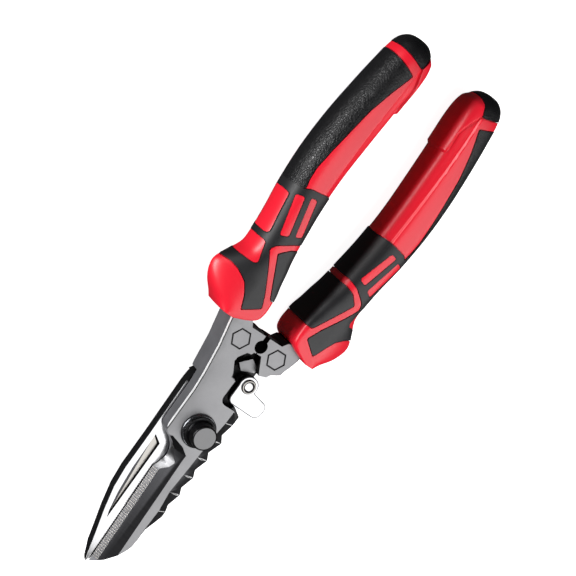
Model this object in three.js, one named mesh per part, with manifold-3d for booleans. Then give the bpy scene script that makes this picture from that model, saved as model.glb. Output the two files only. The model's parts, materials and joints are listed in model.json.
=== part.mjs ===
// Multi-function shear pliers: two lapped steel halves on a shoulder bolt, a thumb
// lock lever, a torsion spring and two-colour grips. Millimetres, +Z up.
//
// The pliers lie on their back. Inside the group the pivot axis is the Z axis at
// x = y = 0, the lap plane between the halves is z = 0, the handles run along +Y
// and the jaws along -Y. The group is then moved so that the origin is the middle
// of the underside.
import * as THREE from 'three';
import { ConvexGeometry } from 'three/addons/geometries/ConvexGeometry.js';
import { mergeVertices } from 'three/addons/utils/BufferGeometryUtils.js';
import Module from 'manifold-3d';

const wasm = await Module();
wasm.setup();

// ---- driving dimensions -------------------------------------------------------
const TIP_Y = -64.5; // point of the rear jaw
const BUTT_Y = 161.5; // rounded ends of the grips
const PLATE = 6; // thickness of one half where the halves lap
const LAP_GAP = 0.15; // each half stands this far off the lap plane
const CLEAR = 0.3; // gap between pieces of one body
const REST_Z = -10.3; // underside of the grips and of the bolt head
const EDGE = 0.6; // chamfer on the plates' long outer edges

const BOLT_R = 4;
const BOLT_HEAD_R = 8;
const HOLE_R = BOLT_R + 0.1;
const SPRING_POCKET_R = 7.4;
const SPRING_WIRE_R = 0.55;
const SPRING_COIL_R = 6;
const SPRING_TURNS = 1.25;
const SPRING_LOW = -1.55;
const SPRING_RISE = 0.95;
const COLLAR_TOP = PLATE + 1.2;
const KNOB_FLANGE_R = 6.25;
const KNOB_TOP_R = 4.3;
const KNOB_TOP = 13.3;

const ROOT_RELIEF_R = 21.5; // the thick root of each half starts outside this circle
const LAP_DISC_R = 21;
const CRIMP = { x: 0.4, y: 38.3, r: 2.6 };
const SLOT_HALF = 1.1; // half the slot between the two roots
const HEX_FLAT = 7.4; // across the flats of each engraved hexagon
const HEX_LINE = 0.75; // width of the engraved line
const HEX_DEPTH = 0.4;
const TANG_HALF = 2.6;

const LEVER = { x: 6.2, y: 23.5, bossR: 3.9, low: 3.4, high: 5.9 };
const RIVET_R = 2.6;
const RIVET_SHANK_R = 1.5;
const LEVER_BORE_R = 1.7;

const SERRATION = { first: -0.5, pitch: 8.2, long: 5.3, count: 4, depth: 0.65 };

// ---- materials ----------------------------------------------------------------
const finish = (color, roughness, metalness) =>
  new THREE.MeshStandardMaterial({ color, roughness, metalness });
const blastedSteel = finish(0x8e8e8e, 0.5, 0.9);
const polishedSteel = finish(0xe8e8e8, 0.18, 1);
const blackOxide = finish(0x1c1c1e, 0.4, 0.7);
const springSteel = finish(0x7d7f82, 0.3, 1);
const redPlastic = finish(0xe01f33, 0.35, 0);
const blackRubber = finish(0x232326, 0.75, 0);

// ---- solids -------------------------------------------------------------------
const solid = (geometry) => {
  geometry.deleteAttribute('normal');
  geometry.deleteAttribute('uv');
  const merged = mergeVertices(geometry, 1e-4);
  const vertProperties = new Float32Array(merged.attributes.position.array);
  const triVerts = new Uint32Array(merged.index.array);
  return new wasm.Manifold(new wasm.Mesh({ numProp: 3, vertProperties, triVerts }));
};

const geometryOf = (body) => {
  const { numProp, vertProperties, triVerts } = body.getMesh();
  const position = new Float32Array((vertProperties.length / numProp) * 3);
  for (let i = 0; i < position.length / 3; i += 1) {
    position.set(vertProperties.subarray(i * numProp, i * numProp + 3), i * 3);
  }
  const geometry = new THREE.BufferGeometry();
  geometry.setAttribute('position', new THREE.BufferAttribute(position, 3));
  geometry.setIndex(new THREE.BufferAttribute(new Uint32Array(triVerts), 1));
  geometry.computeVertexNormals();
  return geometry;
};

const shapeOf = (points) => new THREE.Shape(points.map(([x, y]) => new THREE.Vector2(x, y)));

// A straight prism on an outline in XY; grow makes it larger all round.
const prism = (outline, low, high, grow = 0) => {
  const shape = outline instanceof THREE.Shape ? outline : shapeOf(outline);
  const geometry = new THREE.ExtrudeGeometry(shape, {
    depth: high - low,
    curveSegments: 6,
    bevelEnabled: grow > 0,
    bevelThickness: grow,
    bevelSize: grow,
    bevelSegments: 1,
  });
  geometry.translate(0, 0, low);
  return solid(geometry);
};

// A prism whose edges at both ends are rounded inwards in a few steps.
const pillow = (shape, low, high, round, inset, steps) => {
  const geometry = new THREE.ExtrudeGeometry(shape, {
    depth: high - low - 2 * round,
    curveSegments: 5,
    bevelEnabled: true,
    bevelThickness: round,
    bevelSize: inset,
    bevelOffset: -inset,
    bevelSegments: steps,
  });
  geometry.translate(0, 0, low + round);
  return solid(geometry);
};

const hull = (points) => solid(new ConvexGeometry(points.map((p) => new THREE.Vector3(...p))));

const cylinder = (radius, low, high, x = 0, y = 0, sides = 32, topRadius = radius) => {
  const geometry = new THREE.CylinderGeometry(topRadius, radius, high - low, sides);
  geometry.rotateX(Math.PI / 2);
  geometry.translate(x, y, (low + high) / 2);
  return solid(geometry);
};

// A turned piece: [radius, z] pairs from the axis round to the axis again.
const turned = (profile, x = 0, y = 0, sides = 40) => {
  const points = profile.map(([r, z]) => new THREE.Vector2(r, z));
  const geometry = new THREE.LatheGeometry(points, sides);
  geometry.rotateX(Math.PI / 2);
  geometry.translate(x, y, 0);
  return solid(geometry);
};

const polygon = (sides, radius, x, y, turn = 0) =>
  Array.from({ length: sides }, (_, i) => {
    const angle = turn + (i * 2 * Math.PI) / sides;
    return [x + radius * Math.cos(angle), y + radius * Math.sin(angle)];
  });

const arc = (x, y, radius, from, to, steps) =>
  Array.from({ length: steps + 1 }, (_, i) => {
    const angle = THREE.MathUtils.degToRad(from + ((to - from) * i) / steps);
    return [x + radius * Math.cos(angle), y + radius * Math.sin(angle)];
  });

const mirrorX = (points) => points.map(([x, y]) => [-x, y]).reverse();

// The back of the pliers repeats the front, turned half round about the Y axis.
const turnedOver = (body) => body.rotate([0, 180, 0]);

// ---- the parting line between the two roots --------------------------------------
// Side is -1 for the half on the left handle and +1 for the half on the right one.
const slotEdge = (side) => CRIMP.x + side * SLOT_HALF;
const crimpArc = (side) => {
  const open = 64;
  return side < 0
    ? arc(CRIMP.x, CRIMP.y, CRIMP.r, 180 - open, 180 + open + 20, 10)
    : arc(CRIMP.x, CRIMP.y, CRIMP.r, -open - 20, open, 10);
};

const hexMark = (x, y) => {
  const outer = HEX_FLAT / Math.sqrt(3);
  const high = PLATE + 1;
  const low = PLATE - HEX_DEPTH;
  return prism(polygon(6, outer, x, y), low, high).subtract(
    prism(polygon(6, outer - HEX_LINE, x, y), low - 1, high + 1),
  );
};

// ---- front half: left handle, right jaw -----------------------------------------
const TANG_LEFT = [
  [-10, 44.4], [-12.6, 50], [-13.6, 58], [-14.6, 75], [-17.6, 100], [-17.8, 120], [-15.8, 146],
  [-21.4, 147], [-24, 120], [-24, 100], [-22, 75], [-21.6, 58], [-19, 49], [-17.4, 44.2],
];
const OUTER_LEFT = [[-17.4, 46], [-16.9, 41.2], [-14.4, 30.8], [-12.6, 19.2]];

const NEST = [[-2.2, 25], [-4.6, 28.7], [-4.4, 30.6], [-2.2, 33.7], [-0.4, 34], [0, 35.2]];

const frontLapOutline = () => [
  [slotEdge(-1), 43],
  [-7.6, 43],
  [-9, 44.8],
  [-13, 46],
  ...OUTER_LEFT,
  [-11.9, 12],
  [-11.7, -2.8],
  ...arc(-7.9, -3, 3.8, 180, 255, 4),
  [-5.6, -8.4],
  // the gullet and the blade's edge
  ...arc(-8.2, -14.9, 6.6, 50, -45, 7),
  [-3.4, -20.8],
  [-1.5, -63.6],
  [-1, -63.2],
  [1.6, -60],
  [5.9, -51.9],
  [6.6, -50],
  [7.1, -42],
  [9.9, -37.7],
  [11.2, -35.4],
  [12.4, -8],
  [12.4, 11.6],
  [8, 14.1],
  [7.2, 13],
  // the notch that the lock lever lies in
  ...arc(2.6, 15.5, 2.5, 270, 180, 4),
  [0.1, 22.9],
  [-1.4, 23.2],
  // the crimping nest
  ...NEST,
  ...crimpArc(-1).reverse(),
  [slotEdge(-1), 41],
];

const frontRootOutline = () => [
  [slotEdge(-1), 43],
  [-7.6, 43],
  [-9, 44.8],
  [-13, 46],
  ...OUTER_LEFT,
  ...arc(0, 0, ROOT_RELIEF_R, 124, 92, 6),
  [-1.4, 23.2],
  ...NEST,
  ...crimpArc(-1).reverse(),
  [slotEdge(-1), 41],
];

// Wide at the far side so that only the long outer edge is chamfered.
const chamferedEnvelope = () => {
  const outline = [
    [60, 60], [-17.4, 60], [-16.9, 41.2], [-14.4, 30.8], [-12.6, 19.2], [-11.9, 12],
    [-11.7, -2.8], [-11.7, -90], [60, -90],
  ];
  return pillow(shapeOf(outline), -PLATE, PLATE, EDGE, EDGE, 1);
};

const bladeLine = (y) => -3.4 + ((y + 20.8) * (-1.5 + 3.4)) / (-63.8 + 20.8);
const ridgeLine = (y) => 2.15 + ((y + 13) * (3.85 - 2.15)) / (-52.3 + 13);

// The ground blade: a steep toothed strip at the edge and a hollow bevel behind it.
const STRIP_WIDTH = 1.8;
const STRIP_HEIGHT = 2.4;
const bladeStrip = () => {
  const ends = [-19.8, -66];
  return hull(ends.flatMap((y) => [
    [bladeLine(y) - 0.1, y, LAP_GAP + 0.15],
    [bladeLine(y) + STRIP_WIDTH, y, STRIP_HEIGHT],
    [bladeLine(y) - 8, y, LAP_GAP + 0.15],
    [bladeLine(y) + STRIP_WIDTH, y, PLATE + 2],
    [bladeLine(y) - 8, y, PLATE + 2],
  ]));
};
const bladeBevel = () => {
  const ends = [-10.6, -66];
  const steep = (PLATE - STRIP_HEIGHT) / 3.9;
  return hull(ends.flatMap((y) => [
    [bladeLine(y) + STRIP_WIDTH, y, STRIP_HEIGHT],
    [ridgeLine(y), y, PLATE],
    [ridgeLine(y) + 3, y, PLATE + 3 * steep],
    [bladeLine(y) - 14, y, PLATE + 3 * steep],
    [bladeLine(y) - 14, y, STRIP_HEIGHT],
  ]));
};
// The bevel turns the corner above the gullet and runs out along the plate's lower edge.
const shoulderBevel = () => hull([
  [2.15, -10.4, PLATE], [-1.2, -8.2, PLATE], [-7.4, -6.4, PLATE],
  [-1.8, -13.4, 3.2], [-4.6, -10.4, 3.6], [-8.4, -8.4, 4.4],
  [2.15, -14, PLATE], [-1.8, -17, 3.2], [-14, -17, 3.2], [-14, -8.4, 4.4],
  [2.15, -14, PLATE + 3], [-14, -17, PLATE + 3], [-14, -6.4, PLATE + 3], [2.15, -10.4, PLATE + 3],
  [-7.4, -6.4, PLATE + 3],
]);
// The serrated outer bevel of the front jaw.
const BEVEL_LOW = 2.8;
const bevelTop = (y) => 7.4 + (y - 5) * 0.018;
const bevelFoot = (y) => 12.3 + (y - 5) * 0.026;
const outerBevel = () => {
  const ends = [16, -45];
  return hull(ends.flatMap((y) => [
    [bevelTop(y), y, PLATE],
    [bevelFoot(y), y, BEVEL_LOW],
    [bevelFoot(y) + 3, y, BEVEL_LOW],
    [bevelFoot(y) + 3, y, PLATE + 1],
    [bevelTop(y), y, PLATE + 1],
  ]));
};
const serrationCut = (peak) => {
  const valley = peak - SERRATION.long;
  const next = peak - SERRATION.pitch;
  const deep = SERRATION.depth;
  const foot = (y, drop) => [bevelFoot(y) - drop, y, BEVEL_LOW - drop];
  const far = (y, z) => [bevelFoot(y) + 4, y, z];
  const slope = hull([
    [bevelTop(peak), peak, PLATE], [bevelTop(valley), valley, PLATE - deep / 2],
    [bevelTop(next), next, PLATE], foot(peak, 0), foot(valley, deep), foot(next, 0),
    [bevelTop(peak), peak, PLATE + 1], [bevelTop(next), next, PLATE + 1],
    far(peak, BEVEL_LOW), far(next, BEVEL_LOW), far(peak, PLATE + 1), far(next, PLATE + 1),
  ]);
  const wall = hull([
    [bevelFoot(peak), peak, -1], [bevelFoot(valley) - deep, valley, -1],
    [bevelFoot(next), next, -1], foot(peak, 0), foot(valley, deep), foot(next, 0),
    far(peak, -1), far(next, -1), far(peak, BEVEL_LOW), far(next, BEVEL_LOW),
  ]);
  return slope.add(wall);
};

// A ledge let into the top face round the crimping nest.
const NEST_LEDGE = PLATE - 1.1;
const nestLedge = () => prism([
  [1, 35.5], [0.2, 35.3], [-2, 35.1], [-3.5, 34.3], [-5.8, 31], [-6.1, 29], [-5.7, 27.8],
  [-2.8, 24.2], [-2.6, 23.2], [1, 22.5],
], NEST_LEDGE, PLATE + 1);

// The gullet behind the blade: a polished crescent that flares from the edge upwards.
const gullet = () => hull([
  [-5.5, -8.8, LAP_GAP], [-2.4, -12.3, LAP_GAP], [-1.6, -15.4, LAP_GAP], [-2.4, -18.5, LAP_GAP],
  [-3.35, -20.6, LAP_GAP], [-7.6, -7.6, 4.4], [-3.8, -9.4, 4.1], [-0.6, -12.5, 4.6],
  [0.9, -15, 4.9], [0.45, -17.6, 4.6], [-1.5, -20.1, 2.6], [-14, -7.6, 4.4], [-14, -20.6, 2.6],
  [-14, -8.8, LAP_GAP], [-14, -20.6, LAP_GAP],
]);

const rootTopStep = () => prism(
  [[-0.5, 42.6], [-7.4, 42.6], [-9, 44.9], [-9, 46.5], [-0.5, 46.5]], 3.4, PLATE + 1,
);

const frontHalf = () => {
  let body = prism(frontLapOutline(), LAP_GAP, PLATE)
    .add(prism(frontRootOutline(), -PLATE, PLATE))
    .add(prism(TANG_LEFT, -TANG_HALF, TANG_HALF))
    .intersect(chamferedEnvelope().add(prism([[0, 44.2], [-40, 44.2], [-40, 200], [0, 200]], -3, 3)));
  for (const cut of [bladeStrip(), bladeBevel(), shoulderBevel(), outerBevel()]) {
    body = body.subtract(cut);
  }
  for (let i = -1; i < SERRATION.count; i += 1) {
    body = body.subtract(serrationCut(SERRATION.first - i * SERRATION.pitch));
  }
  const leverSweep = cylinder(15, -1, PLATE + 1).intersect(
    prism([[0, 9], [20, 4], [20, 20], [0, 20]], 3.2, PLATE + 1),
  );
  const beyondSweep = prism([[7.3, 9], [20, 4], [20, 20], [7.3, 20]], 3.2, PLATE + 1)
    .subtract(leverSweep);
  return body
    .subtract(gullet())
    .subtract(beyondSweep)
    .subtract(nestLedge())
    .subtract(rootTopStep())
    .subtract(hexMark(-8.5, 36.9))
    .subtract(cylinder(HOLE_R, -PLATE - 1, PLATE + 1));
};

// ---- rear half: right handle, left jaw --------------------------------------------
const rearLapOutline = () => [
  [slotEdge(1), 43],
  ...crimpArc(1).reverse(),
  [0.6, 35.4],
  ...arc(0, 0, LAP_DISC_R, 92, 122, 6),
  [-12.2, 16.2],
  [-12.8, 14],
  [-12.9, 11],
  [-12.5, 0],
  [-12.2, -11.5],
  [-12, -27],
  [-11.1, -35],
  [-8.9, -43.8],
  [-5.8, -53.8],
  [-3, -63.4],
  [-2.4, TIP_Y],
  [-1.5, -63.6],
  [0.8, -22],
  [0.5, -18],
  [2, -12],
  [6, -8.2],
  ...mirrorX(arc(-7.9, -3, 3.8, 180, 255, 4)),
  [11.7, -2.8],
  [11.9, 12],
  ...mirrorX(OUTER_LEFT),
  [13, 46],
  [9, 44.8],
  [7.6, 43],
];

const rearRootOutline = () => [
  [slotEdge(1), 43],
  ...crimpArc(1).reverse(),
  [0.6, 35.4],
  [2.8, 35.4],
  [6.7, 29],
  [9.7, 29.9],
  [10.4, 31.2],
  [14.2, 33.4],
  [14.6, 35.4],
  [16.9, 41.2],
  [17.4, 46],
  [13, 46],
  [9, 44.8],
  [7.6, 43],
];

const CRIMP_TOOTH = [[-1.3, 28.8], [2.5, 32.6], [6.5, 30.4], [6.5, 28.4], [1.3, 26.6]];
const TOOTH_TOP = 2.7;

// A shallow three-sided scoop in the polished face of the rear jaw.
const jawScoop = () => hull([
  [-10.1, -10.2, 0], [-6.3, -12.6, 0], [-5.8, -47, 0], [-9.8, -19, 0], [-9.7, -27, 0],
  [-8.9, -34.6, 0], [-7, -43.8, 0],
  [-9.6, -11.2, -1.3], [-6.6, -13.4, -1.3], [-6.1, -44, -1],
]);

const BACK_BEVEL_TOP = -4.6;
const BACK_BEVEL_IN = 1.6;
const backBevel = () => {
  const ends = [[-12.9, 16], [-12.2, -11.5], [-12, -27], [-11.1, -35], [-8.9, -43.8],
    [-5.8, -53.8], [-2.4, -64.6]];
  let cutter = null;
  for (let i = 1; i < ends.length; i += 1) {
    const piece = hull([ends[i - 1], ends[i]].flatMap(([x, y]) => [
      [x, y, BACK_BEVEL_TOP], [x + BACK_BEVEL_IN, y, -PLATE], [x + BACK_BEVEL_IN, y, -PLATE - 1],
      [x - 2, y, BACK_BEVEL_TOP], [x - 2, y, -PLATE - 1],
    ]));
    cutter = cutter ? cutter.add(piece) : piece;
  }
  return cutter;
};

const rearEdgeLine = (y) => 0.8 + ((y + 22) * (0.8 + 1.5)) / (63.6 - 22);
const rearBlade = () => {
  const ends = [-12, -66];
  return hull(ends.flatMap((y) => [
    [rearEdgeLine(y) + 0.3, y, -LAP_GAP - 0.3], [rearEdgeLine(y) - 4.6, y, -PLATE],
    [rearEdgeLine(y) - 4.6, y, -PLATE - 1], [rearEdgeLine(y) + 14, y, -LAP_GAP - 0.3],
    [rearEdgeLine(y) + 14, y, -PLATE - 1],
  ]));
};

const rearHalf = () => {
  let body = prism(rearLapOutline(), -PLATE, -LAP_GAP)
    .add(prism(rearRootOutline(), -PLATE, PLATE))
    .add(prism(CRIMP_TOOTH, -PLATE, TOOTH_TOP))
    .add(prism(mirrorX(TANG_LEFT), -TANG_HALF, TANG_HALF))
    .intersect(turnedOver(chamferedEnvelope())
      .add(prism([[0, 44.2], [40, 44.2], [40, 200], [0, 200]], -3, 3)));
  for (const cut of [jawScoop(), backBevel(), rearBlade()]) {
    body = body.subtract(cut);
  }
  const springRoom = cylinder(SPRING_POCKET_R, -2.2, 0).subtract(cylinder(BOLT_R + 0.8, -3, 1));
  return body
    .subtract(springRoom)
    .subtract(turnedOver(rootTopStep()))
    .subtract(rootTopStep().mirror([1, 0, 0]))
    .subtract(hexMark(8.8, 37.3))
    .subtract(turnedOver(hexMark(-8.8, 37.3)))
    .subtract(cylinder(RIVET_SHANK_R + 0.1, -PLATE - 1, 1, LEVER.x, LEVER.y, 24))
    .subtract(cylinder(HOLE_R, -PLATE - 1, PLATE + 1));
};

// ---- what is on the pivot ------------------------------------------------------
const pivotBolt = () => turned([
  [0, REST_Z], [BOLT_HEAD_R - 1, REST_Z], [BOLT_HEAD_R, REST_Z + 1], [BOLT_HEAD_R, -PLATE - 0.8],
  [BOLT_R, -PLATE - 0.8], [BOLT_R, PLATE], [BOLT_R - 1, PLATE + 0.5], [BOLT_R - 1, 11.6],
  [BOLT_R - 1.4, 12], [0, 12],
]);
const headWasher = () => turned([
  [BOLT_R + 0.2, -PLATE - 0.7], [BOLT_HEAD_R + 0.6, -PLATE - 0.7], [BOLT_HEAD_R + 0.6, -PLATE - 0.1],
  [BOLT_R + 0.2, -PLATE - 0.1], [BOLT_R + 0.2, -PLATE - 0.7],
]);
const pivotCollar = () => turned([
  [BOLT_R + 0.2, PLATE + 0.1], [KNOB_FLANGE_R + 0.5, PLATE + 0.1], [KNOB_FLANGE_R + 0.5, PLATE + 0.8],
  [KNOB_FLANGE_R + 0.1, COLLAR_TOP], [BOLT_R + 0.2, COLLAR_TOP], [BOLT_R + 0.2, PLATE + 0.1],
]);
const pivotKnob = () => {
  const foot = COLLAR_TOP + 0.1;
  const bore = BOLT_R - 0.7;
  return turned([
    [0, 12.3], [bore, 12.3], [bore, foot + 0.6], [BOLT_R + 0.4, foot], [KNOB_FLANGE_R, foot],
    [KNOB_FLANGE_R, foot + 0.7], [KNOB_FLANGE_R - 0.4, foot + 1.1], [5.1, foot + 1.4],
    [KNOB_TOP_R + 0.5, KNOB_TOP - 0.6], [KNOB_TOP_R, KNOB_TOP], [0, KNOB_TOP],
  ]);
};

// A torsion spring of one and a quarter coils lies in the rear half's pocket.
class SpringPath extends THREE.Curve {
  getPoint(t) {
    const angle = t * SPRING_TURNS * 2 * Math.PI;
    const z = SPRING_LOW + SPRING_RISE * t;
    return new THREE.Vector3(SPRING_COIL_R * Math.cos(angle), SPRING_COIL_R * Math.sin(angle), z);
  }
}
const torsionSpring = () => {
  const wire = new THREE.Shape(polygon(8, SPRING_WIRE_R * 0.6, 0, 0).map((p) => new THREE.Vector2(...p)));
  return solid(new THREE.ExtrudeGeometry(wire, { steps: 44, extrudePath: new SpringPath() }));
};

// ---- lock lever -------------------------------------------------------------------
const leverOutline = () => {
  const shape = new THREE.Shape();
  shape.moveTo(2.5, 25);
  shape.lineTo(2.6, 17.6);
  shape.quadraticCurveTo(2.8, 15.4, 5, 14.9);
  shape.lineTo(15.4, 14.6);
  shape.quadraticCurveTo(17.7, 15, 17.6, 18);
  shape.quadraticCurveTo(17.3, 20.8, 15.6, 21.3);
  shape.lineTo(9.9, 22.6);
  shape.absarc(LEVER.x, LEVER.y, LEVER.bossR, -0.1, Math.PI - 0.45, false);
  shape.closePath();
  return shape;
};
const lockLever = () => pillow(leverOutline(), LEVER.low, LEVER.high, 0.4, 0.4, 1)
  .subtract(cylinder(LEVER_BORE_R, 0, PLATE + 1, LEVER.x, LEVER.y, 24));
const WAVE_WASHER_LOW = LEVER.low - 0.6;
const leverSpacer = () => cylinder(3.6, 0.15, WAVE_WASHER_LOW - 0.1, LEVER.x, LEVER.y, 24)
  .subtract(cylinder(LEVER_BORE_R, -1, PLATE, LEVER.x, LEVER.y, 24));
const leverWaveWasher = () => cylinder(3.4, WAVE_WASHER_LOW, LEVER.low - 0.1, LEVER.x, LEVER.y, 24)
  .subtract(cylinder(LEVER_BORE_R + 0.2, -1, PLATE, LEVER.x, LEVER.y, 24));
const leverRivet = () => turned([
  [0, -PLATE + 0.2], [RIVET_SHANK_R, -PLATE + 0.2], [RIVET_SHANK_R, LEVER.high + 0.1],
  [RIVET_R, LEVER.high + 0.1], [RIVET_R, LEVER.high + 0.5], [RIVET_R - 0.7, LEVER.high + 0.8],
  [1.2, LEVER.high + 0.4], [0, LEVER.high + 0.3],
], LEVER.x, LEVER.y, 24);

// ---- grips ------------------------------------------------------------------------
// Cross-sections of the left grip from its guard to its butt. Each runs from a point on
// the inner side to a point on the outer side; crown is how far across it is thickest,
// and the two squarenesses are superellipse powers (2 is an ellipse, 6 nearly a box).
const GRIP_SECTIONS = [
  // inner x, y, outer x, y, crown, half thickness, squareness inside, outside
  [-17.8, 42.1, -23.6, 42.1, 0.42, 9.3, 9, 2.6],
  [-12.2, 44.1, -26.8, 44.5, 0.4, 9.8, 9, 2.1],
  [-8.8, 46.3, -30.6, 47.8, 0.4, 10.1, 9, 1.8],
  [-7.8, 49.5, -33, 51.2, 0.4, 10.3, 8.6, 1.6],
  [-7.7, 53, -34, 54.6, 0.4, 10.3, 7.4, 1.5],
  [-7.9, 56.5, -33.2, 57.4, 0.4, 10.3, 6.2, 1.55],
  [-8.5, 60.5, -30.3, 61.4, 0.43, 10.3, 4.4, 1.9],
  [-9.2, 65.5, -27.3, 66, 0.47, 10.3, 3.5, 2.2],
  [-10.1, 71, -26.9, 71.3, 0.5, 10.3, 2.9, 2.3],
  [-11.1, 80, -27.8, 80.5, 0.5, 10.3, 2.6, 2.3],
  [-12.1, 91, -29.5, 91.5, 0.5, 10.3, 2.4, 2.3],
  [-12.6, 105, -30.6, 106, 0.5, 10.3, 2.35, 2.3],
  [-12.2, 120, -30.3, 121, 0.5, 10.3, 2.35, 2.3],
  [-11.4, 136, -28.8, 136.5, 0.5, 10.2, 2.35, 2.3],
  [-10.7, 147, -27.4, 147.5, 0.5, 9.9, 2.4, 2.3],
  [-11, 154, -26.4, 154.3, 0.5, 9.2, 2.4, 2.3],
  [-12.6, 158.3, -24.8, 158.5, 0.5, 7.5, 2.3, 2.3],
  [-15.2, 160.8, -22.2, 160.9, 0.5, 4.6, 2.2, 2.2],
  [-18, BUTT_Y, -19.4, BUTT_Y, 0.5, 0.9, 2, 2],
];

// A uniform Catmull-Rom blend of the rows of a table; place runs from 0 to rows - 1.
const blendRows = (rows, place) => {
  const last = rows.length - 1;
  const from = Math.min(Math.floor(place), last - 1);
  const t = place - from;
  const row = (i) => rows[THREE.MathUtils.clamp(i, 0, last)];
  return rows[0].map((_, column) => {
    const [p0, p1, p2, p3] = [-1, 0, 1, 2].map((step) => row(from + step)[column]);
    const bend = 2 * p0 - 5 * p1 + 4 * p2 - p3 + t * (3 * (p1 - p2) + p3 - p0);
    return p1 + 0.5 * t * (p2 - p0 + t * bend);
  });
};

const GRIP_SIDES = 16;
const GRIP_LEVELS = 22;
// The solid of the grip, or, with an inset, the one that lies that far inside it.
const gripLoft = (inset = 0) => {
  const geometry = new THREE.CylinderGeometry(1, 1, 1, GRIP_SIDES, GRIP_LEVELS);
  const { position } = geometry.attributes;
  for (let i = 0; i < position.count; i += 1) {
    const level = 0.5 - position.getY(i);
    const [ix, iy, ox, oy, crown, half, squareIn, squareOut] = blendRows(
      GRIP_SECTIONS,
      level * (GRIP_SECTIONS.length - 1),
    );
    const across = position.getX(i);
    const lift = position.getZ(i);
    const width = Math.hypot(ox - ix, oy - iy);
    const reach = (across > 0 ? crown : 1 - crown) * width;
    const power = 2 / (across > 0 ? squareIn : squareOut);
    const sideways = Math.sign(across) * Math.abs(across) ** power;
    const trimmed = Math.max(reach - inset, reach * 0.2) * sideways;
    const spot = crown - trimmed / width;
    const height = Math.max(half - inset, half * 0.2);
    position.setXYZ(
      i,
      ix + (ox - ix) * spot,
      iy + (oy - iy) * spot,
      -Math.sign(lift) * Math.abs(lift) ** power * height,
    );
  }
  return solid(geometry);
};

// Outlines of the black rubber on the left grip, seen from above. They run past the
// grip where a pad wraps right round its outer side, its inner side or its butt.
const BESIDE_IN = 0;
const BESIDE_OUT = -40;
const PAST_BUTT = 170;
const WAIST_SLEEVE = [
  // along the guard, then up the red line that frames the inner panel
  [BESIDE_OUT, 57.8], [-32.5, 57.8], [-30.1, 58.2], [-26.8, 57.4], [-22.9, 55.1], [-20.3, 51.2],
  [-18, 46.1], [-11.4, 50.5], [-14, 55.8], [-22.8, 69.9], [-21.5, 72.3], [-16.2, 75.8], [-13, 77],
  [BESIDE_IN, 77.2],
  // round the neck
  [BESIDE_IN, 95.3], [-13, 96.4], [-15.6, 97], [-23.6, 95.8], [-25.4, 94.6], [BESIDE_OUT, 91.8],
];
const PALM_PAD = [
  [BESIDE_OUT, 92.1], [-25.6, 94.8], [-26, 97.8], [-26.5, 103], [-25.8, 112], [-24.8, 120],
  [-23.4, 130], [-20.8, 139.8], [-17.6, 148.8], [-22.7, 150.8], [-28.6, 152.6], [BESIDE_OUT, 152.8],
];
const NECK_WINDOWS = [
  [[-26.8, 91.1], [-23.9, 92.1], [-20, 77.3], [-22.9, 75.9]],
  [[-21.8, 93.1], [-19.2, 93.5], [-15, 79.5], [-17.7, 78.4]],
  [[BESIDE_OUT, 90], [-27.1, 90.1], [-24.6, 75], [-25, 73.7], [BESIDE_OUT, 73.5]],
  [[BESIDE_OUT, 71.2], [-24.9, 71.2], [-23.2, 63.6], [-24, 62.6], [BESIDE_OUT, 61.9]],
];
const INNER_PANEL = [
  [BESIDE_IN, 54.6], [-10.6, 54.6], [-19.4, 70.1], [-15.7, 73.6], [-13, 74.6], [BESIDE_IN, 74.9],
];
const END_CAP = [
  [BESIDE_OUT, 155.8], [-25.4, 155.2], [-22.4, 154.5], [-16, 152.5], [-15, 155.5],
  [-14.6, 157.6], [-12.5, 159.3], [BESIDE_IN, 160.2], [BESIDE_IN, PAST_BUTT],
  [BESIDE_OUT, PAST_BUTT],
];
const PADS = {
  waist_sleeve: { outline: WAIST_SLEEVE, windows: NECK_WINDOWS },
  palm_pad: { outline: PALM_PAD, windows: [] },
  inner_panel: { outline: INNER_PANEL, windows: [] },
  end_cap: { outline: END_CAP, windows: [] },
};
const PAD_GAP = 0.3;
const PAD_DEPTH = 1.6;
// The thick root of a half runs this far into its guard.
const ROOT_SOCKET = [[2, 36], [2, 44.8], [-9, 44.8], [-13, 46], [-17.4, 46], [-16.9, 41.2], [-15.6, 36]];

const throughPrism = (outline, grow = 0) => prism(outline, -20, 20, grow);

const padSolid = ({ outline, windows }) => {
  let body = gripLoft().intersect(throughPrism(outline)).subtract(gripLoft(PAD_DEPTH));
  for (const window of windows) {
    body = body.subtract(throughPrism(window, PAD_GAP));
  }
  return body;
};

const gripCore = () => {
  let body = gripLoft();
  for (const { outline, windows } of Object.values(PADS)) {
    let room = throughPrism(outline, PAD_GAP);
    for (const window of windows) {
      room = room.subtract(throughPrism(window));
    }
    body = body.subtract(room);
  }
  return body
    .add(gripLoft(PAD_DEPTH + PAD_GAP))
    .subtract(prism(TANG_LEFT, -TANG_HALF, TANG_HALF, CLEAR))
    .subtract(prism(ROOT_SOCKET, -PLATE, PLATE, CLEAR));
};

// ---- assembly ---------------------------------------------------------------------
const pliers = new THREE.Group();
const addPart = (name, body, material) => {
  const mesh = new THREE.Mesh(geometryOf(body), material);
  mesh.name = name;
  pliers.add(mesh);
};

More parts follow.
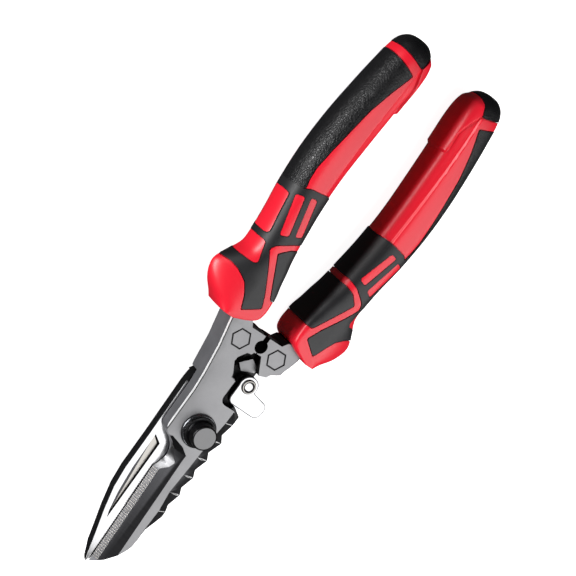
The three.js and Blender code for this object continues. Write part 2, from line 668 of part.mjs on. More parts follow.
addPart('front_half', frontHalf(), blastedSteel);
addPart('rear_half', rearHalf(), polishedSteel);
addPart('pivot_bolt', pivotBolt(), blackOxide);
addPart('head_washer', headWasher(), springSteel);
addPart('pivot_collar', pivotCollar(), springSteel);
addPart('pivot_knob', pivotKnob(), blackOxide);
addPart('torsion_spring', torsionSpring(), springSteel);
addPart('lever_spacer', leverSpacer(), polishedSteel);
addPart('lever_wave_washer', leverWaveWasher(), springSteel);
addPart('lock_lever', lockLever(), polishedSteel);
addPart('lever_rivet', leverRivet(), polishedSteel);
for (const side of ['left', 'right']) {
  const place = (body) => (side === 'left' ? body : body.mirror([1, 0, 0]));
  addPart(`${side}_grip_core`, place(gripCore()), redPlastic);
  for (const [name, pad] of Object.entries(PADS)) {
    addPart(`${side}_${name}`, place(padSolid(pad)), blackRubber);
  }
}

pliers.position.set(0, -(TIP_Y + BUTT_Y) / 2, -REST_Z);
export default pliers;
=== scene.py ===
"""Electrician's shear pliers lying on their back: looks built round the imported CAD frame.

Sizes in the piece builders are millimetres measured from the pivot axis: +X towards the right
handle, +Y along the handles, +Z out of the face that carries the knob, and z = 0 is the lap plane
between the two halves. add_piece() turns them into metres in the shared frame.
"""
import math

import bmesh
import bpy
from mathutils import Matrix, Vector
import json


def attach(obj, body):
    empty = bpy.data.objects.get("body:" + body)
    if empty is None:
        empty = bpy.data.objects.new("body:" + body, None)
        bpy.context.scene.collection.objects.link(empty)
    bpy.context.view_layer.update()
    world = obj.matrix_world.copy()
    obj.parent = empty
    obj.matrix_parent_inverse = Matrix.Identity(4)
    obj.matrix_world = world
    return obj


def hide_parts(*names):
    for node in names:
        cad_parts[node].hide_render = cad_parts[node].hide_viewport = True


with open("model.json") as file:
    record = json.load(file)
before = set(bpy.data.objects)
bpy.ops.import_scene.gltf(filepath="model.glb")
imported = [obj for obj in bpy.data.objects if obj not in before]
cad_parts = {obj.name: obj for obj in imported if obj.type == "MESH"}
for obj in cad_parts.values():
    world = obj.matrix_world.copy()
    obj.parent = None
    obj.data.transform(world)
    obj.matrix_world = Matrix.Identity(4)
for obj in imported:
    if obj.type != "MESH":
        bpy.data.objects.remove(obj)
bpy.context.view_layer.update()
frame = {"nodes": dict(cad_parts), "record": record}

MM = 0.001
PIVOT = Vector(frame["record"]["behaviour"]["joints"][0]["pos_m"])
TO_FRAME = Matrix.Translation(PIVOT) @ Matrix.Scale(MM, 4)

PLATE = 6.0          # thickness of one half where the halves lap
BACK = -10.3         # underside of the bolt head and the grips
STEEL_CRISP = 30     # steel edges sharper than this many degrees stay crisp


# ---- colours and nodes --------------------------------------------------------------
def linear(hex_code):
    """An sRGB hex colour as linear red, green, blue and alpha."""
    channels = [int(hex_code[i:i + 2], 16) / 255 for i in (0, 2, 4)]
    return [c / 12.92 if c <= 0.04045 else ((c + 0.055) / 1.055) ** 2.4 for c in channels] + [1.0]


def per_mm(size_mm):
    """Texture scale, on coordinates in metres, for a feature of this size."""
    return 1.0 / (size_mm * MM)


def add_node(tree, kind, settings=(), links=()):
    """Adds a node, sets its options or socket values, and links sockets into it."""
    made = tree.nodes.new(kind)
    for key, value in dict(settings).items():
        if isinstance(key, str) and hasattr(made, key):
            setattr(made, key, value)
        else:
            made.inputs[key].default_value = value
    for key, source in dict(links).items():
        tree.links.new(source, made.inputs[key])
    return made


def new_material(name):
    """A material with an empty tree, its output, and Object coordinates."""
    material = bpy.data.materials.new(name)
    material.use_nodes = True
    tree = material.node_tree
    tree.nodes.clear()
    coords = add_node(tree, "ShaderNodeTexCoord").outputs["Object"]
    return material, tree, coords


def bead_blasted_steel():
    """Forged tool steel, bead blasted: an even satin grey with a fine sparkle and faint
    cloudy patches where the beads fell unevenly."""
    material, tree, coords = new_material("bead_blasted_steel")
    cloud = add_node(tree, "ShaderNodeTexNoise",
                     {"Scale": per_mm(14), "Detail": 3.0}, {"Vector": coords})
    # beads leave 0.15 mm dimples; drawn at 0.35 mm so that they show
    grit = add_node(tree, "ShaderNodeTexNoise",
                    {"Scale": per_mm(0.35), "Detail": 2.0}, {"Vector": coords})
    colour = add_node(tree, "ShaderNodeMix", {"data_type": "RGBA", 6: linear("6E6E70"),
                      7: linear("808081")}, {0: cloud.outputs["Fac"]})
    rough = add_node(tree, "ShaderNodeMapRange", {"To Min": 0.36, "To Max": 0.52},
                     {"Value": grit.outputs["Fac"]})
    bump = add_node(tree, "ShaderNodeBump", {"Strength": 0.35, "Distance": 0.00003},
                    {"Height": grit.outputs["Fac"]})
    shader = add_node(tree, "ShaderNodeBsdfPrincipled", {"Metallic": 1.0},
                      {"Base Color": colour.outputs[2], "Roughness": rough.outputs[0],
                       "Normal": bump.outputs["Normal"]})
    add_node(tree, "ShaderNodeOutputMaterial", {}, {"Surface": shader.outputs[0]})
    return material


def ground_dark_steel():
    """Deep charcoal steel on the ground bevels, smoother than the blasted faces, with fine
    grinding lines that run across the blade."""
    material, tree, coords = new_material("ground_dark_steel")
    # grinding lines 0.2 mm apart, drawn at 0.3 mm and stretched forty times along X
    stretch = add_node(tree, "ShaderNodeMapping", {"Scale": (0.025, 1.0, 0.025)},
                       {"Vector": coords})
    lines = add_node(tree, "ShaderNodeTexNoise",
                     {"Scale": per_mm(0.3), "Detail": 2.0}, {"Vector": stretch.outputs[0]})
    colour = add_node(tree, "ShaderNodeMix", {"data_type": "RGBA", 6: linear("2C2C2E"),
                      7: linear("3A3A3C")}, {0: lines.outputs["Fac"]})
    rough = add_node(tree, "ShaderNodeMapRange", {"To Min": 0.34, "To Max": 0.5},
                     {"Value": lines.outputs["Fac"]})
    bump = add_node(tree, "ShaderNodeBump", {"Strength": 0.12, "Distance": 0.00002},
                    {"Height": lines.outputs["Fac"]})
    shader = add_node(tree, "ShaderNodeBsdfPrincipled", {"Metallic": 0.9},
                      {"Base Color": colour.outputs[2], "Roughness": rough.outputs[0],
                       "Normal": bump.outputs["Normal"]})
    add_node(tree, "ShaderNodeOutputMaterial", {}, {"Surface": shader.outputs[0]})
    return material


def polished_steel():
    """Mirror-ground tool steel: nearly white under a soft box, with hairline scratches
    that only show as a slight change of gloss."""
    material, tree, coords = new_material("polished_steel")
    stretch = add_node(tree, "ShaderNodeMapping", {"Scale": (1.0, 0.03, 1.0)},
                       {"Vector": coords})
    hairs = add_node(tree, "ShaderNodeTexNoise",
                     {"Scale": per_mm(0.25), "Detail": 3.0}, {"Vector": stretch.outputs[0]})
    colour = add_node(tree, "ShaderNodeMix", {"data_type": "RGBA", 6: linear("A6A6A8"),
                      7: linear("B4B4B5")}, {0: hairs.outputs["Fac"]})
    rough = add_node(tree, "ShaderNodeMapRange", {"To Min": 0.12, "To Max": 0.24},
                     {"Value": hairs.outputs["Fac"]})
    shader = add_node(tree, "ShaderNodeBsdfPrincipled", {"Metallic": 1.0},
                      {"Base Color": colour.outputs[2], "Roughness": rough.outputs[0]})
    add_node(tree, "ShaderNodeOutputMaterial", {}, {"Surface": shader.outputs[0]})
    return material


def brushed_steel():
    """Steel brushed along the jaw: light warm grey, duller than the polished face."""
    material, tree, coords = new_material("brushed_steel")
    stretch = add_node(tree, "ShaderNodeMapping", {"Scale": (1.0, 0.05, 1.0)},
                       {"Vector": coords})
    brush = add_node(tree, "ShaderNodeTexNoise",
                     {"Scale": per_mm(0.4), "Detail": 3.0}, {"Vector": stretch.outputs[0]})
    colour = add_node(tree, "ShaderNodeMix", {"data_type": "RGBA", 6: linear("8C8985"),
                      7: linear("A09D99")}, {0: brush.outputs["Fac"]})
    rough = add_node(tree, "ShaderNodeMapRange", {"To Min": 0.28, "To Max": 0.42},
                     {"Value": brush.outputs["Fac"]})
    shader = add_node(tree, "ShaderNodeBsdfPrincipled", {"Metallic": 1.0},
                      {"Base Color": colour.outputs[2], "Roughness": rough.outputs[0]})
    add_node(tree, "ShaderNodeOutputMaterial", {}, {"Surface": shader.outputs[0]})
    return material


def forged_side_steel():
    """The plates' edges as cut and blackened: mid to dark grey with a soft gradient."""
    material, tree, coords = new_material("forged_side_steel")
    cloud = add_node(tree, "ShaderNodeTexNoise",
                     {"Scale": per_mm(5), "Detail": 4.0}, {"Vector": coords})
    colour = add_node(tree, "ShaderNodeMix", {"data_type": "RGBA", 6: linear("727276"),
                      7: linear("86868A")}, {0: cloud.outputs["Fac"]})
    rough = add_node(tree, "ShaderNodeMapRange", {"To Min": 0.34, "To Max": 0.5},
                     {"Value": cloud.outputs["Fac"]})
    shader = add_node(tree, "ShaderNodeBsdfPrincipled", {"Metallic": 0.5},
                      {"Base Color": colour.outputs[2], "Roughness": rough.outputs[0]})
    add_node(tree, "ShaderNodeOutputMaterial", {}, {"Surface": shader.outputs[0]})
    return material


def painted_highlight_edge_steel():
    """Painted highlight for edges: a broken, near-white satin that stays bright from every side,
    so that the crests and the long edge read as thin pale glint lines."""
    material, tree, coords = new_material("painted_highlight_edge_steel")
    # noise that breaks up the painted highlight's brightness
    highlight_break = add_node(tree, "ShaderNodeTexNoise",
                    {"Scale": per_mm(1.2), "Detail": 3.0}, {"Vector": coords})
    colour = add_node(tree, "ShaderNodeMix", {"data_type": "RGBA", 6: linear("DADADB"),
                      7: linear("FAFAFA")}, {0: highlight_break.outputs["Fac"]})
    rough = add_node(tree, "ShaderNodeMapRange", {"To Min": 0.35, "To Max": 0.55},
                     {"Value": highlight_break.outputs["Fac"]})
    shader = add_node(tree, "ShaderNodeBsdfPrincipled", {"Metallic": 0.1},
                      {"Base Color": colour.outputs[2], "Roughness": rough.outputs[0]})
    add_node(tree, "ShaderNodeOutputMaterial", {}, {"Surface": shader.outputs[0]})
    return material


def black_oxide_and_painted_shade():
    """Black oxide in the cuts, and painted shade: near-black laid on deep floors, cut walls, the
    lap face by the lever, the lever's sides and the knob's groove, where shade falls.
    """
    material, tree, coords = new_material("black_oxide_and_painted_shade")
    cloud = add_node(tree, "ShaderNodeTexNoise",
                     {"Scale": per_mm(1.5), "Detail": 3.0}, {"Vector": coords})
    colour = add_node(tree, "ShaderNodeMix", {"data_type": "RGBA", 6: linear("0B0B0C"),
                      7: linear("18181A")}, {0: cloud.outputs["Fac"]})
    shader = add_node(tree, "ShaderNodeBsdfPrincipled",
                      {"Metallic": 0.5, "Roughness": 0.5}, {"Base Color": colour.outputs[2]})
    add_node(tree, "ShaderNodeOutputMaterial", {}, {"Surface": shader.outputs[0]})
    return material


def black_oxide_gloss():
    """Turned steel, blacked and oiled: glossy black with thin bright reflections and
    faint lathe rings."""
    material, tree, coords = new_material("black_oxide_gloss")
    centred = add_node(tree, "ShaderNodeMapping", {"Location": tuple(-PIVOT)},
                       {"Vector": coords})
    # lathe feed marks 0.25 mm apart, as rings round the pivot
    rings = add_node(tree, "ShaderNodeTexWave",
                     {"wave_type": "RINGS", "rings_direction": "Z", "Scale": per_mm(0.8),
                      "Distortion": 0.4}, {"Vector": centred.outputs[0]})
    colour = add_node(tree, "ShaderNodeMix", {"data_type": "RGBA", 6: linear("131315"),
                      7: linear("1D1D1F")}, {0: rings.outputs["Fac"]})
    rough = add_node(tree, "ShaderNodeMapRange", {"To Min": 0.2, "To Max": 0.32},
                     {"Value": rings.outputs["Fac"]})
    shader = add_node(tree, "ShaderNodeBsdfPrincipled", {"Metallic": 0.7},
                      {"Base Color": colour.outputs[2], "Roughness": rough.outputs[0]})
    add_node(tree, "ShaderNodeOutputMaterial", {}, {"Surface": shader.outputs[0]})
    return material


def satin_knob_face():
    """The knob's faced end: flat mid grey where the blacking is thin, with lathe rings."""
    material, tree, coords = new_material("satin_knob_face")
    centred = add_node(tree, "ShaderNodeMapping", {"Location": tuple(-PIVOT)},
                       {"Vector": coords})
    rings = add_node(tree, "ShaderNodeTexWave",
                     {"wave_type": "RINGS", "rings_direction": "Z", "Scale": per_mm(0.9),
                      "Distortion": 0.6}, {"Vector": centred.outputs[0]})
    colour = add_node(tree, "ShaderNodeMix", {"data_type": "RGBA", 6: linear("6A6A6B"),
                      7: linear("747475")}, {0: rings.outputs["Fac"]})
    shader = add_node(tree, "ShaderNodeBsdfPrincipled", {"Metallic": 0.9, "Roughness": 0.5},
                      {"Base Color": colour.outputs[2]})
    add_node(tree, "ShaderNodeOutputMaterial", {}, {"Surface": shader.outputs[0]})
    return material


def spring_steel():
    """Drawn wire and stamped washers: clean grey steel with a soft gloss."""
    material, tree, coords = new_material("spring_steel")
    cloud = add_node(tree, "ShaderNodeTexNoise",
                     {"Scale": per_mm(2), "Detail": 3.0}, {"Vector": coords})
    colour = add_node(tree, "ShaderNodeMix", {"data_type": "RGBA", 6: linear("7A7C80"),
                      7: linear("94969A")}, {0: cloud.outputs["Fac"]})
    rough = add_node(tree, "ShaderNodeMapRange", {"To Min": 0.22, "To Max": 0.36},
                     {"Value": cloud.outputs["Fac"]})
    shader = add_node(tree, "ShaderNodeBsdfPrincipled", {"Metallic": 1.0},
                      {"Base Color": colour.outputs[2], "Roughness": rough.outputs[0]})
    add_node(tree, "ShaderNodeOutputMaterial", {}, {"Surface": shader.outputs[0]})
    return material


def red_moulded_plastic():
    """Injection-moulded polypropylene: saturated signal red, semi-gloss, with a very
    fine spark-eroded texture and slight flow clouding."""
    material, tree, coords = new_material("red_moulded_plastic")
    cloud = add_node(tree, "ShaderNodeTexNoise",
                     {"Scale": per_mm(22), "Detail": 2.0}, {"Vector": coords})
    # spark-eroded texture of 0.1 mm, drawn at 0.4 mm so that it softens the gloss
    grain = add_node(tree, "ShaderNodeTexNoise",
                     {"Scale": per_mm(0.4), "Detail": 2.0}, {"Vector": coords})
    colour = add_node(tree, "ShaderNodeMix", {"data_type": "RGBA", 6: linear("F21A30"),
                      7: linear("FC2238")}, {0: cloud.outputs["Fac"]})
    rough = add_node(tree, "ShaderNodeMapRange", {"To Min": 0.3, "To Max": 0.42},
                     {"Value": grain.outputs["Fac"]})
    bump = add_node(tree, "ShaderNodeBump", {"Strength": 0.12, "Distance": 0.00002},
                    {"Height": grain.outputs["Fac"]})
    shader = add_node(tree, "ShaderNodeBsdfPrincipled", {"IOR": 1.49},
                      {"Base Color": colour.outputs[2], "Roughness": rough.outputs[0],
                       "Normal": bump.outputs["Normal"]})
    add_node(tree, "ShaderNodeOutputMaterial", {}, {"Surface": shader.outputs[0]})
    return material


def grained_rubber():
    """Soft rubber moulded against a leather-grained tool: matt charcoal whose grain
    breaks the highlight along the crest into small glints."""
    material, tree, coords = new_material("grained_rubber")
    warp = add_node(tree, "ShaderNodeTexNoise",
                    {"Scale": per_mm(2.5), "Detail": 2.0}, {"Vector": coords})
    bent = add_node(tree, "ShaderNodeVectorMath", {"operation": "MULTIPLY_ADD",
                    1: (0.0012, 0.0012, 0.0012)}, {0: warp.outputs["Color"], 2: coords})
    # leather cells of 0.9 mm
    cells = add_node(tree, "ShaderNodeTexVoronoi",
                     {"feature": "DISTANCE_TO_EDGE", "Scale": per_mm(0.9)},
                     {"Vector": bent.outputs[0]})
    raised = add_node(tree, "ShaderNodeMapRange", {"From Max": 0.25},
                      {"Value": cells.outputs["Distance"]})
    cloud = add_node(tree, "ShaderNodeTexNoise",
                     {"Scale": per_mm(9), "Detail": 3.0}, {"Vector": coords})
    colour = add_node(tree, "ShaderNodeMix", {"data_type": "RGBA", 6: linear("0E0E10"),
                      7: linear("161618")}, {0: cloud.outputs["Fac"]})
    rough = add_node(tree, "ShaderNodeMapRange", {"To Min": 0.5, "To Max": 0.3},
                     {"Value": raised.outputs[0]})
    bump = add_node(tree, "ShaderNodeBump", {"Strength": 0.7, "Distance": 0.0001},
                    {"Height": raised.outputs[0]})
    shader = add_node(tree, "ShaderNodeBsdfPrincipled", {"IOR": 1.42},
                      {"Base Color": colour.outputs[2], "Roughness": rough.outputs[0],
                       "Normal": bump.outputs["Normal"]})
    add_node(tree, "ShaderNodeOutputMaterial", {}, {"Surface": shader.outputs[0]})
    return material


def smooth_rubber():
    """The same rubber moulded against a plain tool: matt black with an even, low gloss
    and a trace of dust."""
    material, tree, coords = new_material("smooth_rubber")
    cloud = add_node(tree, "ShaderNodeTexNoise",
                     {"Scale": per_mm(7), "Detail": 4.0}, {"Vector": coords})
    fine = add_node(tree, "ShaderNodeTexNoise",
                    {"Scale": per_mm(0.5), "Detail": 2.0}, {"Vector": coords})
    colour = add_node(tree, "ShaderNodeMix", {"data_type": "RGBA", 6: linear("131315"),
                      7: linear("1C1C1F")}, {0: cloud.outputs["Fac"]})
    rough = add_node(tree, "ShaderNodeMapRange", {"To Min": 0.44, "To Max": 0.58},
                     {"Value": fine.outputs["Fac"]})
    bump = add_node(tree, "ShaderNodeBump", {"Strength": 0.2, "Distance": 0.00003},
                    {"Height": fine.outputs["Fac"]})
    shader = add_node(tree, "ShaderNodeBsdfPrincipled", {"IOR": 1.48},
                      {"Base Color": colour.outputs[2], "Roughness": rough.outputs[0],
                       "Normal": bump.outputs["Normal"]})
    add_node(tree, "ShaderNodeOutputMaterial", {}, {"Surface": shader.outputs[0]})
    return material


BLASTED = bead_blasted_steel()
GROUND = ground_dark_steel()
POLISHED = polished_steel()
BRUSHED = brushed_steel()
SIDE = forged_side_steel()
OXIDE_AND_SHADE = black_oxide_and_painted_shade()
PAINTED_HIGHLIGHT = painted_highlight_edge_steel()
GLOSS_BLACK = black_oxide_gloss()
KNOB_FACE = satin_knob_face()
SPRING = spring_steel()
RED = red_moulded_plastic()
GRAINED = grained_rubber()
SMOOTH = smooth_rubber()


# ---- pieces ---------------------------------------------------------------------------
def add_piece(name, shape, materials, smooth_angle):
    """Makes a millimetre bmesh a finished object; edges sharper than smooth_angle stay
    crisp."""
    bmesh.ops.transform(shape, matrix=TO_FRAME, verts=shape.verts)
    for face in shape.faces:
        face.smooth = True
    for edge in shape.edges:
        if len(edge.link_faces) == 2:
            edge.smooth = edge.calc_face_angle(0) < math.radians(smooth_angle)
    mesh = bpy.data.meshes.new(name)
    shape.to_mesh(mesh)
    shape.free()
    for material in materials:
        mesh.materials.append(material)
    piece = bpy.data.objects.new(name, mesh)
    bpy.context.scene.collection.objects.link(piece)
    return piece


def finish_piece(piece, body, slot, *nodes):
    """Rides the piece on its body and stands it in for its CAD nodes."""
    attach(piece, body)
    if nodes:
        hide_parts(*nodes)


def grown_outline(outline, grow):
    """An outline moved out, or in where grow is negative, by the same amount all round."""
    points = [Vector(point) for point in outline]
    turns = zip(points, points[1:] + points[:1])
    way = 1 if sum(a.x * b.y - b.x * a.y for a, b in turns) > 0 else -1
    moved = []
    for before, point, after in zip(points[-1:] + points[:-1], points,
                                    points[1:] + points[:1]):
        first = (point - before).normalized()
        second = (after - point).normalized()
        out_first = Vector((first.y, -first.x)) * way
        out_second = Vector((second.y, -second.x)) * way
        mitre = (out_first + out_second).normalized()
        moved.append(point + mitre * grow / max(mitre.dot(out_first), 0.4))
    return moved


def prism(outline, low, high, grow=0.0, corner=0.0):
    """A straight prism on an outline, with its upright corners rounded."""
    shape = bmesh.new()
    corners = [shape.verts.new((x, y, low)) for x, y in grown_outline(outline, grow)]
    face = shape.faces.new(corners)
    upper = bmesh.ops.extrude_face_region(shape, geom=[face])["geom"]
    upper = [item for item in upper if isinstance(item, bmesh.types.BMVert)]
    bmesh.ops.translate(shape, vec=(0, 0, high - low), verts=upper)
    bmesh.ops.recalc_face_normals(shape, faces=shape.faces)
    if corner:
        upright = [e for e in shape.edges
                   if abs(e.verts[0].co.z - e.verts[1].co.z) > (high - low) / 2]
        bmesh.ops.bevel(shape, geom=upright, offset=corner, segments=3, profile=0.5,
                        affect="EDGES", clamp_overlap=True, material=-1)
    return shape


def joined(shapes):
    """One bmesh from several; the others are freed."""
    whole = bmesh.new()
    for shape in shapes:
        carrier = bpy.data.meshes.new("carrier")
        shape.to_mesh(carrier)
        shape.free()
        whole.from_mesh(carrier)
        bpy.data.meshes.remove(carrier)
    return whole


def carved(shape, cutter, operation):
    """The boolean of two closed bmeshes; shape is used up, cutter is kept."""
    objects = []
    for part in (shape, cutter):
        mesh = bpy.data.meshes.new("carving")
        part.to_mesh(mesh)
        thing = bpy.data.objects.new("carving", mesh)
        bpy.context.scene.collection.objects.link(thing)
        objects.append(thing)
    shape.free()
    carve = objects[0].modifiers.new("carve", "BOOLEAN")
    carve.object = objects[1]
    carve.operation = operation
    carve.solver = "MANIFOLD"
    graph = bpy.context.evaluated_depsgraph_get()
    result = bmesh.new()
    result.from_object(objects[0], graph)
    for thing in objects:
        mesh = thing.data
        bpy.data.objects.remove(thing)
        bpy.data.meshes.remove(mesh)
    return result


def lathe(profile, x=0.0, y=0.0, steps=72):
    """A turned solid on the Z axis from (radius, z) pairs."""
    shape = bmesh.new()
    points = [shape.verts.new((radius, 0, z)) for radius, z in profile]
    edges = [shape.edges.new(pair) for pair in zip(points, points[1:])]
    bmesh.ops.spin(shape, geom=points + edges, cent=(0, 0, 0), axis=(0, 0, 1),
                   angle=math.tau, steps=steps, use_merge=True)
    bmesh.ops.remove_doubles(shape, verts=shape.verts, dist=0.001)
    bmesh.ops.recalc_face_normals(shape, faces=shape.faces)
    bmesh.ops.translate(shape, vec=(x, y, 0), verts=shape.verts)
    return shape


def from_node(node):
    """A merged millimetre copy of a CAD node with its flat faces made whole."""
    shape = bmesh.new()
    shape.from_mesh(frame["nodes"][node].data)
    bmesh.ops.transform(shape, matrix=TO_FRAME.inverted(), verts=shape.verts)
    bmesh.ops.remove_doubles(shape, verts=shape.verts, dist=0.004)
    bmesh.ops.dissolve_limit(shape, angle_limit=math.radians(0.6), verts=shape.verts,
                             edges=shape.edges)
    return shape


def soften(shape, width, angle, segments, material, chosen):
    """Rounds the chosen edges that turn by more than this many degrees."""
    sharp = [e for e in shape.edges if len(e.link_faces) == 2
             and e.calc_face_angle(0) > math.radians(angle) and chosen(e)]
    bmesh.ops.bevel(shape, geom=sharp, offset=width, segments=segments, profile=0.5,
                    affect="EDGES", clamp_overlap=True, material=material)


# ---- the two steel halves ---------------------------------------------------------------
STEEL = [BLASTED, GROUND, POLISHED, BRUSHED, SIDE, OXIDE_AND_SHADE, PAINTED_HIGHLIGHT]
IS_BLASTED, IS_GROUND, IS_POLISHED, IS_BRUSHED, IS_SIDE, IS_OXIDE_AND_SHADE, IS_PAINTED_HIGHLIGHT = range(7)
LEVEL = 0.98                              # a face whose normal has this much Z is flat
HEXAGON_FLOOR = (PLATE - 0.6, PLATE - 0.3)
UNDER_NEST_LEDGE = PLATE - 1.3
LONG_EDGE_X = -9                          # the long outer edge's chamfer is left of this
BLADE_ROOT_Y, BLADE_SPINE_X = -7, 3.9     # the blade's bevels lie below and left of these
GULLET_END_Y, GULLET_X, GULLET_TOP = -20.3, 1, 3.6
STRIP_START_Y, STRIP_TOP, STRIP_STEEP = -19.9, 2.5, 0.86
SERRATED_X, SERRATED_END_Y = 5.5, 16
FRONT_CUTS_X, FRONT_CUTS_Y = -10, 12      # lever notch, nest and holes, painted near-black as shade
CRIMP_TOOTH_TOP = (2, 3.2)
LAP_FACE = (-0.3, 0.3)
UNDER_LEVER_X, UNDER_LEVER_Y = 9, 12.5    # the lap face is painted near-black as shade left of and above these
SCOOP_X, SCOOP_Y, SCOOP_FLOOR, SCOOP_STEEP = -5, -9, -1.4, 0.9
REAR_CUTS_X, REAR_CUTS_Y = 12, 20         # nest, holes and the root's inner walls, painted near-black as shade


def paint_front(shape):
    """Gives each face of the front half its finish, by where it is and how it faces; deep floors
    and the walls of the lever notch, nest and holes get painted shade, and the long edge's
    chamfer a painted highlight.
    """
    for face in shape.faces:
        spot = face.calc_center_median()
        normal = face.normal
        index = IS_SIDE
        if normal.z > LEVEL:
            # flat faces deeper than the nest ledge are painted near-black as shade
            index = IS_BLASTED if spot.z > UNDER_NEST_LEDGE else IS_OXIDE_AND_SHADE
            if HEXAGON_FLOOR[0] < spot.z < HEXAGON_FLOOR[1]:
                index = IS_OXIDE_AND_SHADE
        elif normal.z < -LEVEL:
            index = IS_BLASTED
        # the long edge's chamfer gets the painted highlight
        elif spot.x < LONG_EDGE_X and normal.z > 0.3:
            index = IS_PAINTED_HIGHLIGHT
        elif (spot.y < BLADE_ROOT_Y and spot.x < BLADE_SPINE_X and spot.z > 0
              and normal.z > 0.1):
            index = IS_GROUND
            if spot.y > GULLET_END_Y and spot.z < GULLET_TOP and spot.x < GULLET_X:
                index = IS_BLASTED
            elif normal.z < STRIP_STEEP and spot.z < STRIP_TOP and spot.y < STRIP_START_Y:
                index = IS_SIDE
        elif spot.x > SERRATED_X and spot.y < SERRATED_END_Y:
            index = IS_GROUND
        # walls of the lever notch, nest and holes are painted near-black as shade
        elif spot.x > FRONT_CUTS_X and spot.y > FRONT_CUTS_Y:
            index = IS_OXIDE_AND_SHADE
        face.material_index = index


def paint_rear(shape):
    """Gives each face of the rear half its finish, by where it is and how it faces; deep floors,
    the lap face by the lever, the root's inner walls and the scoop's walls facing left or down
    the jaw get painted shade.
    """
    for face in shape.faces:
        spot = face.calc_center_median()
        normal = face.normal
        index = IS_GROUND
        if normal.z > LEVEL:
            if spot.z > PLATE - 0.3 or CRIMP_TOOTH_TOP[0] < spot.z < CRIMP_TOOTH_TOP[1]:
                index = IS_BLASTED
            elif LAP_FACE[0] < spot.z < LAP_FACE[1]:
                # the lap face beside the lever is painted near-black as shade
                clear_of_lever = spot.x > UNDER_LEVER_X or spot.y < UNDER_LEVER_Y
                index = IS_POLISHED if clear_of_lever else IS_OXIDE_AND_SHADE
            elif spot.y < SCOOP_Y:
                index = IS_BRUSHED
            # other flat floors are painted near-black as shade
            else:
                index = IS_OXIDE_AND_SHADE
        elif normal.z < -LEVEL:
            index = IS_BLASTED
        elif (spot.x < SCOOP_X and spot.y < SCOOP_Y and spot.z > SCOOP_FLOOR
              and normal.z > 0.1):
            index = IS_BRUSHED
            # steep scoop walls facing left or down the jaw are painted near-black as shade, the
            # rest mid grey
            if normal.z < SCOOP_STEEP:
                index = IS_OXIDE_AND_SHADE if normal.x < 0 or normal.y < -0.5 else IS_SIDE
        # the root's inner walls, nest and holes are painted near-black as shade
        elif spot.y > REAR_CUTS_Y and spot.x < REAR_CUTS_X and spot.z > LAP_FACE[0]:
            index = IS_OXIDE_AND_SHADE
        face.material_index = index


def between(edge, first, second):
    """Whether an edge lies between faces of these two finishes."""
    kinds = sorted(face.material_index for face in edge.link_faces)
    return kinds == sorted((first, second))


def finish_front(shape):
    """Breaks the front half's edges: painted highlights along the serrated bevel's crests and
    troughs, a painted dark line inside the painted bright left edge, and a small even radius on
    the rest."""
    # a 0.2 mm band painted near-black as shade between the top face and the long edge's painted
    # highlight
    soften(shape, 0.2, 12, 1, IS_OXIDE_AND_SHADE, lambda e: between(e, IS_BLASTED, IS_PAINTED_HIGHLIGHT)
           and e.verts[0].co.x < -8)
    # serration crests (0.5 mm) and troughs (0.22 mm) are rounded and given the painted highlight
    # finish
    for width, crest in ((0.5, True), (0.22, False)):
        soften(shape, width, 5, 2, IS_PAINTED_HIGHLIGHT, lambda e: between(e, IS_GROUND, IS_GROUND)
               and abs(e.verts[0].co.y - e.verts[1].co.y) < 0.5 and e.verts[0].co.x > 6
               and min(v.co.z for v in e.verts) > 1.5 and e.is_convex == crest)
    soften(shape, 0.12, 40, 2, -1, lambda e: between(e, IS_BLASTED, IS_GROUND)
           or between(e, IS_BLASTED, IS_SIDE))


def finish_rear(shape):
    """Puts a small even radius round the rear half's flat faces."""
    soften(shape, 0.15, 40, 2, -1, lambda e: between(e, IS_BLASTED, IS_GROUND)
           or between(e, IS_POLISHED, IS_GROUND))


front = from_node("front_half")
paint_front(front)
finish_front(front)
front_half = add_piece("front_half_steel", front, STEEL, STEEL_CRISP)
finish_piece(front_half, "front", "blasted_steel", "front_half")

rear = from_node("rear_half")
for at, facing in (((UNDER_LEVER_X, 0, 0), (1, 0, 0)), ((0, UNDER_LEVER_Y, 0), (0, 1, 0))):
    bmesh.ops.bisect_plane(rear, geom=rear.verts[:] + rear.edges[:] + rear.faces[:],
                           plane_co=at, plane_no=facing, dist=0.001)
paint_rear(rear)
finish_rear(rear)
rear_half = add_piece("rear_half_steel", rear, STEEL, STEEL_CRISP)
finish_piece(rear_half, "rear", "polished_steel", "rear_half")


TOOTH_PITCH = 0.95
TOOTH_COUNT = 43
FIRST_TOOTH_Y = -21.2
TOOTH_LENGTH = 1.72 * 1.58      # up the strip's slope
TOOTH_HEIGHT = 0.3
TOOTH_FOOT, TOOTH_CREST = 0.62, 0.35      # of the pitch, and of the foot
EDGE_START = (-3.4, -20.8)      # the cutting edge leaves from here
EDGE_SLANT = (1.9, -43.0)       # and runs this far to the tip
STRIP_SLOPE = (1.8, 2.1)        # the strip's width and rise
STRIP_MIDDLE = (0.82, 1.4)      # from the edge, and from the lap plane


